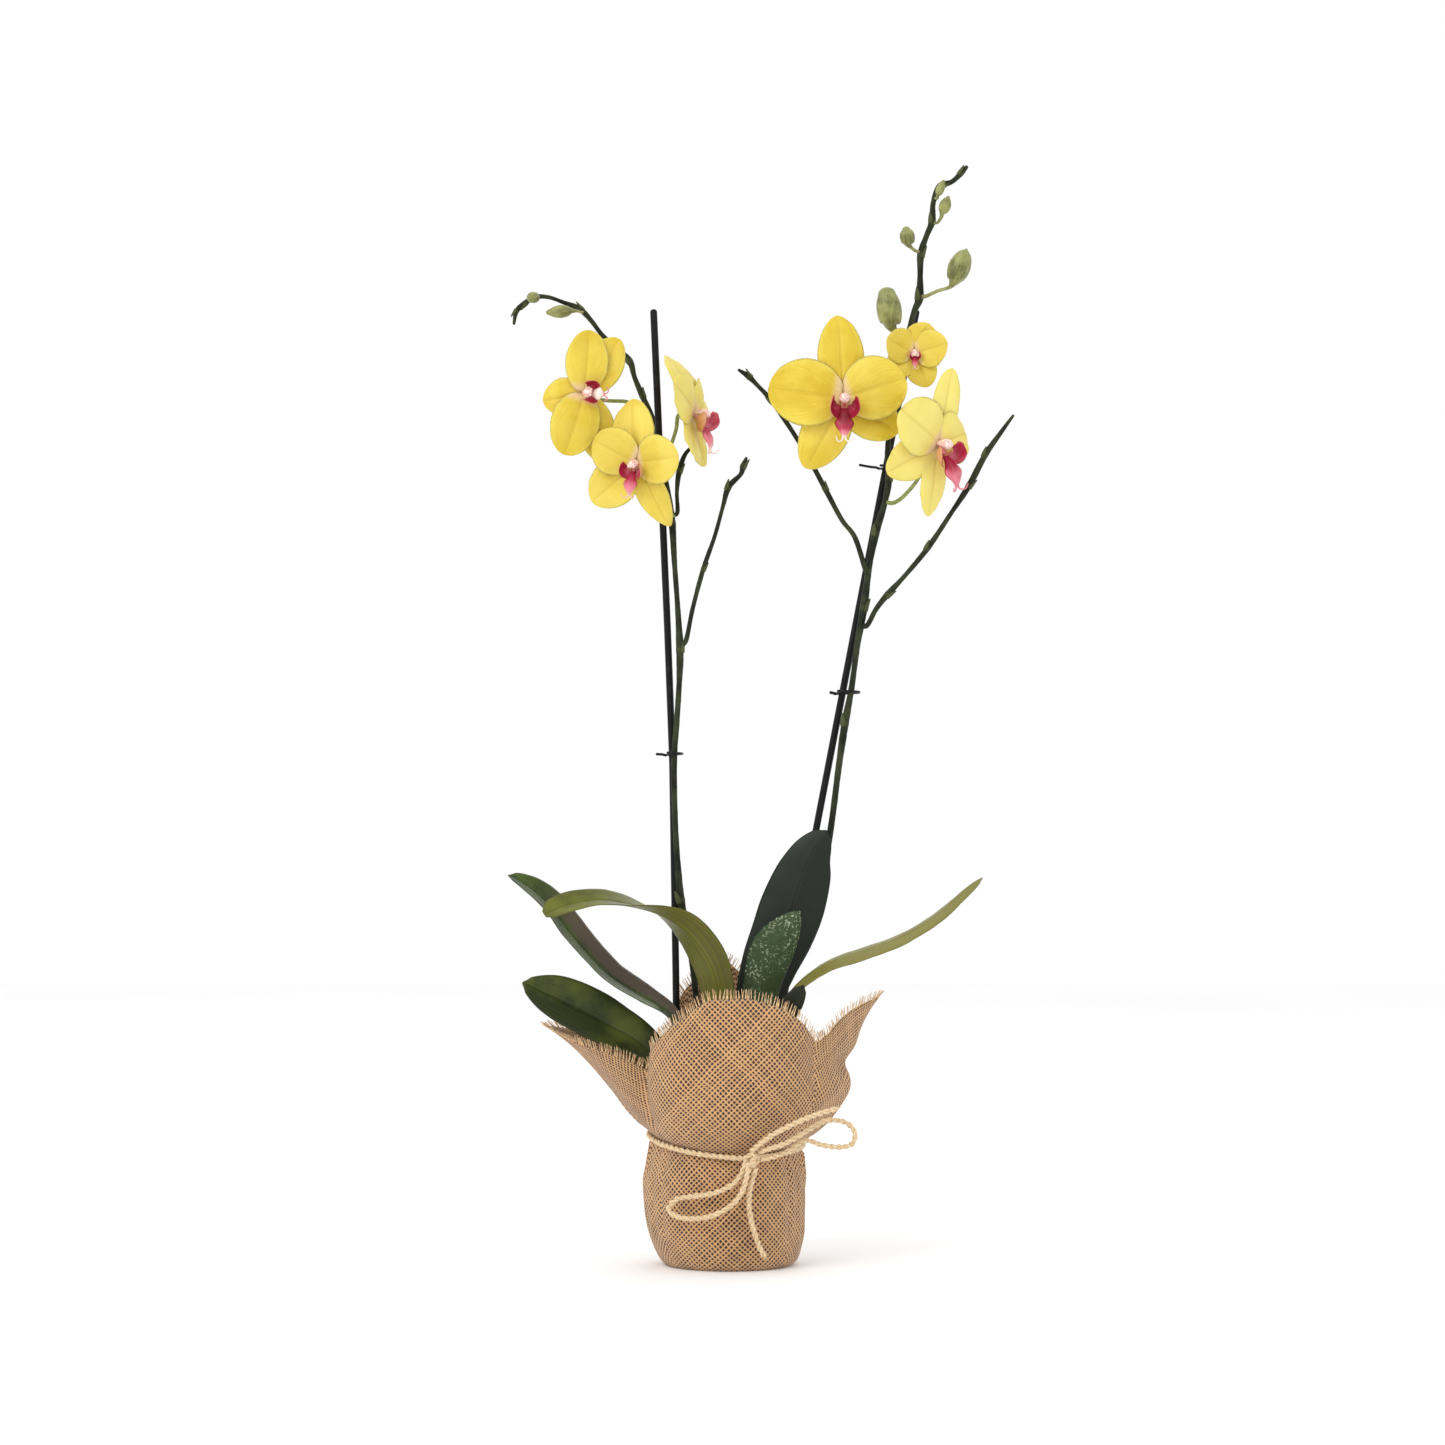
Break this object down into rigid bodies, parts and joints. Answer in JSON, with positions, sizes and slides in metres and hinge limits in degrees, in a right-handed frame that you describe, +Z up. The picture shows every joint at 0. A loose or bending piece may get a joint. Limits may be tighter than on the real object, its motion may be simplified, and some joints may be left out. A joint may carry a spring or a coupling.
{
  "type": "potted orchid",
  "caption": "Moth orchid with yellow flowers on two staked spikes, strap leaves, and a nursery pot wrapped in burlap tied with twine.",
  "frame": {"origin": "middle of the burlap wrap's flat underside, on the table and on the pot's axis", "axes": "+Z up along the plant; -Y towards the front, the side with the twine bow; +X to the right seen from the front"},
  "size_m": [0.3128, 0.126, 0.6808],
  "materials": {
    "pot_plastic": "satin black nursery plastic",
    "bark": "rough orchid bark",
    "burlap": "open plain-weave jute burlap",
    "jute_twine": "pale two-ply jute twine",
    "stake_plastic": "satin black",
    "crown": "firm green stem; leather stands in for plant tissue",
    "leaf": "waxy dark green; leather stands in for plant tissue",
    "leaf_olive": "waxy olive green; leather stands in for plant tissue",
    "spike": "dark olive green stem; wood stands in for plant tissue",
    "bud": "matt grey-green; leather stands in for plant tissue",
    "petal": "soft satin yellow; leather stands in for petal tissue",
    "lip": "satin crimson; leather stands in for petal tissue",
    "column": "pale pinkish yellow; leather stands in for petal tissue"
  },
  "bodies": {
    "root": {"bark_mix": "bark", "burlap_wrap": "burlap", "clip_left": "stake_plastic", "clip_right_high": "stake_plastic", "clip_right_low": "stake_plastic", "leaf_arching": "leaf_olive", "leaf_dark_right": "leaf", "leaf_long_right": "leaf_olive", "leaf_lower_left": "leaf", "leaf_mid_right": "leaf", "leaf_small_right": "leaf", "leaf_upper_left": "leaf", "left_branch_outer": "spike", "left_branch_short": "spike", "left_bud_1": "bud", "left_bud_2": "bud", "left_flower_1_column": "column", "left_flower_1_lip": "lip", "left_flower_1_petals": "petal", "left_flower_1_sepals": "petal", "left_flower_2_column": "column", "left_flower_2_lip": "lip", "left_flower_2_petals": "petal", "left_flower_2_sepals": "petal", "left_flower_3_column": "column", "left_flower_3_lip": "lip", "left_flower_3_petals": "petal", "left_flower_3_sepals": "petal", "left_spike": "spike", "nursery_pot": "pot_plastic", "right_branch_left": "spike", "right_branch_right": "spike", "right_bud_1": "bud", "right_bud_2": "bud", "right_bud_3": "bud", "right_bud_4": "bud", "right_bud_5": "bud", "right_flower_1_column": "column", "right_flower_1_lip": "lip", "right_flower_1_petals": "petal", "right_flower_1_sepals": "petal", "right_flower_2_column": "column", "right_flower_2_lip": "lip", "right_flower_2_petals": "petal", "right_flower_2_sepals": "petal", "right_flower_3_column": "column", "right_flower_3_lip": "lip", "right_flower_3_petals": "petal", "right_flower_3_sepals": "petal", "right_spike": "spike", "root_crown": "crown", "stake_left": "stake_plastic", "stake_right": "stake_plastic", "twine_knot": "jute_twine", "twine_loop_left": "jute_twine", "twine_loop_right": "jute_twine", "twine_tail_down": "jute_twine", "twine_tail_right": "jute_twine", "twine_tie": "jute_twine"}
  },
  "joints": []
}
